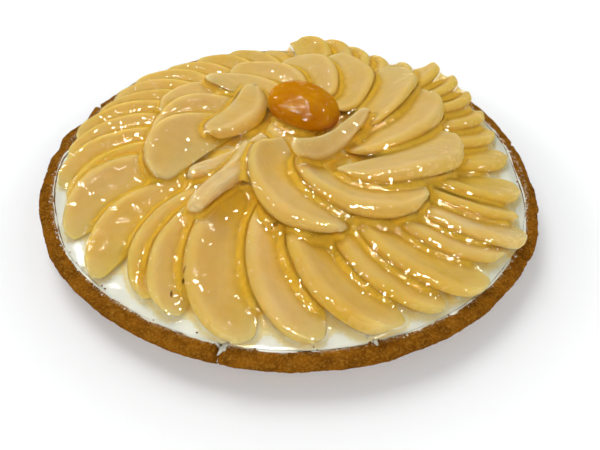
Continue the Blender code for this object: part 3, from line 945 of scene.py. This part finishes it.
def build_bead():
    """Cream pressed up along the rim in an uneven thread, thin or gone in places."""
    bearing, radius, height = inner_edge()
    turns = np.arange(0.0, 360.0, BEAD_STEP)
    centre_radius = np.interp(turns, bearing, radius, period=360.0) - BEAD_INWARD
    centre_height = np.interp(turns, bearing, height, period=360.0) + BEAD_RISE
    angle = np.radians(turns)
    ring = np.stack([centre_radius * np.cos(angle), centre_radius * np.sin(angle), centre_height], axis=1)
    wander = lumps(ring, 60.0, BEAD_SEED) + 0.6 * lumps(ring, 260.0, BEAD_SEED + 1)
    ring = ring + wander * (0.00035, 0.00035, 0.00030)
    thickness = BEAD_THICKNESS * np.clip(0.75 + 1.1 * wander[:, 2] + 0.5 * wander[:, 0], 0.15, 1.6)
    outward = np.stack([np.cos(angle), np.sin(angle), np.zeros_like(angle)], axis=1)
    around = np.radians(np.arange(BEAD_SIDES) * 360.0 / BEAD_SIDES)
    across = np.cos(around)[None, :, None] * outward[:, None, :]
    upward = 0.75 * np.sin(around)[None, :, None] * np.array((0.0, 0.0, 1.0))
    points = ring[:, None, :] + thickness[:, None, None] * (across + upward)
    faces = []
    for column in range(len(turns)):
        here = column * BEAD_SIDES
        there = (column + 1) % len(turns) * BEAD_SIDES
        for side in range(BEAD_SIDES):
            after = (side + 1) % BEAD_SIDES
            faces.append((here + side, there + side, there + after, here + after))
    return points.reshape(-1, 3), faces


def ball(levels):
    """Points and faces of a unit ball."""
    work = bmesh.new()
    bmesh.ops.create_icosphere(work, subdivisions=levels, radius=1.0)
    points = np.array([tuple(v.co) for v in work.verts])
    faces = [tuple(v.index for v in face.verts) for face in work.faces]
    work.free()
    return points, faces


def lump_shape(shape, centre, radii, turn, seed, roughness):
    """A ball pressed into an uneven lump at a place."""
    points, faces = shape
    points = points * (1.0 + roughness * lumps(points, 1.3, seed)[:, :1])
    points = points * np.asarray(radii)
    cosine, sine = math.cos(turn), math.sin(turn)
    turned = points @ np.array(((cosine, sine, 0.0), (-sine, cosine, 0.0), (0.0, 0.0, 1.0)))
    return turned + np.asarray(centre), faces


def height_at(tree, x, y):
    hit = tree.ray_cast(Vector((x, y, 1.0)), Vector((0.0, 0.0, -1.0)))[0]
    return hit.z if hit is not None else 0.0


def crumbs(tree, count, spread, sizes, seed):
    """Small uneven crumbs on the rim and just inside it, as one mesh."""
    rng = random.Random(seed)
    bearing, radius, _ = inner_edge()
    shape = ball(1)
    parts = []
    for number in range(count):
        turn = rng.uniform(0.0, 360.0)
        reach = float(np.interp(turn, bearing, radius, period=360.0)) + rng.gauss(*spread)
        size = rng.uniform(*sizes) * rng.uniform(0.6, 1.0)
        x, y = polar(reach, turn)
        centre = (x, y, height_at(tree, x, y) + 0.25 * size)
        radii = (size * rng.uniform(0.7, 1.3), size * rng.uniform(0.6, 1.0), size * rng.uniform(0.4, 0.8))
        parts.append(lump_shape(shape, centre, radii, rng.uniform(0.0, math.pi), number, 0.5))
    return joined(parts)


def smears(tree):
    """Thin cream dragged over the rim and into the crack at the front, as one mesh."""
    rng = random.Random(SMEAR_SEED)
    shape = ball(2)
    parts = []
    for number, (x, y, reach, count, size) in enumerate(SMEARS):
        for index in range(count):
            place_x = x + rng.gauss(0.0, reach)
            place_y = y + rng.gauss(0.0, reach)
            centre = (place_x, place_y, height_at(tree, place_x, place_y) + SMEAR_LIFT)
            radii = (size * rng.uniform(0.6, 1.5), size * rng.uniform(0.4, 0.9), SMEAR_THICKNESS)
            turn = math.atan2(y, x) + rng.gauss(0.0, 0.5)
            parts.append(lump_shape(shape, centre, radii, turn, 10 * number + index, 0.6))
    return joined(parts)


def build_tart():
    slices, (apricot_points, apricot_faces) = build_fruit()
    cream_points, cream_faces = build_cream()
    crust_points, crust_faces, pale = build_crust()
    parts = [(shape[0], shape[1]) for shape in slices.values()] + [(apricot_points, apricot_faces)]
    fruit_height = height_grid(tree_of(joined(parts)))
    height = height_grid(tree_of(joined(parts + [(cream_points, cream_faces)])))
    around = blur(height, POOL_AND_CREASE_REACH)
    covered = blur((fruit_height > 0.0).astype(float), STAIN_REACH)
    inside = blur((fruit_height > 0.0).astype(float), INSIDE_REACH)

    flesh = pear_material()
    for name, (points, faces, values) in slices.items():
        # painted crease light: how far each point lies below the blurred heights around it, partly where
        # glaze gathers
        pool = np.clip((read_grid(around, points) - points[:, 2]) / POOL_AND_CREASE_DEPTH, 0.0, 1.0)
        tone = TONES.get(name, RING_TONES[name[:-3]])
        fibre = FIBROUS.get(name, 0.0)
        make_piece(
            name.replace("pear_", "slice_"), points, faces, flesh, "pear", [name],
            tone=np.full(len(points), tone), pool=pool, fibre=np.full(len(points), fibre), **values,
        )
    make_piece("apricot_half", apricot_points, apricot_faces, apricot_material(), "apricot", ["apricot"])
    cream = cream_material()
    radius = np.hypot(cream_points[:, 0], cream_points[:, 1])
    soaked = np.clip((STAIN_RADIUS - radius) / STAIN_FADE, 0.0, 1.0)
    make_piece(
        "cream_filling", cream_points, cream_faces, cream, "cream", ["cream"],
        stain=np.maximum(read_grid(covered, cream_points), soaked),
    )
    crust = crust_material()
    make_piece("crust_baked", crust_points, crust_faces, crust, "crust", ["crust"], pale=pale)
    film_points, film_faces, depth = film_shape(parts + [(cream_points, cream_faces)], covered)
    make_piece(
        "glaze_film", film_points, film_faces, glaze_material(), "pear",
        depth=depth, bubbles=bubbly(film_points), ripple=steepness(film_points, film_faces),
        syrup=spread(depth, SYRUP_DEPTHS) * spread(read_grid(inside, film_points), SYRUP_INSIDE),
    )

    shell = tree_of(joined([(cream_points, cream_faces), (crust_points, crust_faces)]))
    make_piece("cream_bead", *build_bead(), cream, "cream")
    make_piece("cream_smears", *smears(shell), cream, "cream")
    make_piece("brown_crumbs", *crumbs(shell, *BROWN_CRUMBS), crust, "crust")
    make_piece("pale_crumbs", *crumbs(shell, *PALE_CRUMBS), cream, "cream")


# Floor, light and camera

FLOOR_HALF = 3.0
BACKDROP_RADIUS = 2.8
BACKDROP_HEIGHT = 3.0
BACKDROP_SIDES = 64
SKY_LOW = 0.05               # brightness of the surroundings at the level of the floor
SKY_HIGH = 0.34              # and high up
LAMPS = (                    # name, place, size, power, seen by shiny surfaces, by others
    ("key", (-0.40, 0.52, 1.05), 0.70, 7.2, False, True),
    ("fill", (0.10, -0.80, 0.85), 0.60, 5.7, False, True),
    ("shine_front", (-0.10, -0.60, 1.00), 0.34, 36.0, True, False),
    ("shine_left", (-0.80, 0.20, 0.70), 0.22, 9.0, True, False),
    ("shine_right", (0.50, -0.30, 1.00), 0.17, 7.0, True, False),
)


def add_lamp(name, place, size, power, glossy, diffuse):
    """A round lamp aimed at the tart, which may light only surfaces or only their shine."""
    data = bpy.data.lights.new(name, "AREA")
    data.shape = "DISK"
    data.size = size
    data.energy = power
    lamp = bpy.data.objects.new(name, data)
    bpy.context.scene.collection.objects.link(lamp)
    lamp.location = place
    lamp.rotation_mode = "QUATERNION"
    lamp.rotation_quaternion = Vector([-value for value in place]).to_track_quat("-Z", "Y")
    lamp.visible_glossy = glossy
    lamp.visible_diffuse = diffuse


def build_floor():
    corners = [(-FLOOR_HALF, -FLOOR_HALF, 0.0), (FLOOR_HALF, -FLOOR_HALF, 0.0)]
    corners += [(FLOOR_HALF, FLOOR_HALF, 0.0), (-FLOOR_HALF, FLOOR_HALF, 0.0)]
    floor = new_object("floor", corners, [(0, 1, 2, 3)])
    floor.data.materials.append(floor_material())


def build_backdrop():
    """A pale wall all round, which only the camera sees."""
    points = []
    for height in (-0.01, BACKDROP_HEIGHT):
        for side in range(BACKDROP_SIDES):
            points.append((*polar(BACKDROP_RADIUS, 360.0 * side / BACKDROP_SIDES), height))
    faces = []
    for side in range(BACKDROP_SIDES):
        after = (side + 1) % BACKDROP_SIDES
        faces.append((after, side, BACKDROP_SIDES + side, BACKDROP_SIDES + after))
    backdrop = new_object("backdrop", points, faces)
    backdrop.data.materials.append(backdrop_material())
    backdrop.visible_diffuse = False
    backdrop.visible_glossy = False
    backdrop.visible_shadow = False


def build_world():
    """Soft surroundings, dim at eye level and bright above."""
    world = bpy.data.worlds.new("studio")
    world.use_nodes = True
    tree = world.node_tree
    direction = add(tree, "ShaderNodeTexCoord").outputs["Generated"]
    height = add(tree, "ShaderNodeSeparateXYZ", {0: direction}).outputs["Z"]
    sky = tree.nodes["Background"]
    tree.links.new(ranged(tree, height, 0.1, 0.9, SKY_LOW, SKY_HIGH), sky.inputs["Strength"])
    sky.inputs["Color"].default_value = (*WHITE, 1.0)
    bpy.context.scene.world = world


def build_camera():
    data = bpy.data.cameras.new("camera")
    data.lens = LENS
    data.sensor_width = SENSOR
    data.clip_start = 0.01
    camera = bpy.data.objects.new("camera", data)
    bpy.context.scene.collection.objects.link(camera)
    backward = [-value for value in CAMERA_FORWARD]
    axes = Matrix((CAMERA_RIGHT, CAMERA_UP, backward)).transposed().to_4x4()
    camera.matrix_world = Matrix.Translation(CAMERA_PLACE) @ axes
    bpy.context.scene.camera = camera
    bpy.context.scene.view_settings.view_transform = "Standard"


def build_stage():
    build_floor()
    build_backdrop()
    build_world()
    for lamp in LAMPS:
        add_lamp(*lamp)
    build_camera()


build_tart()
build_stage()
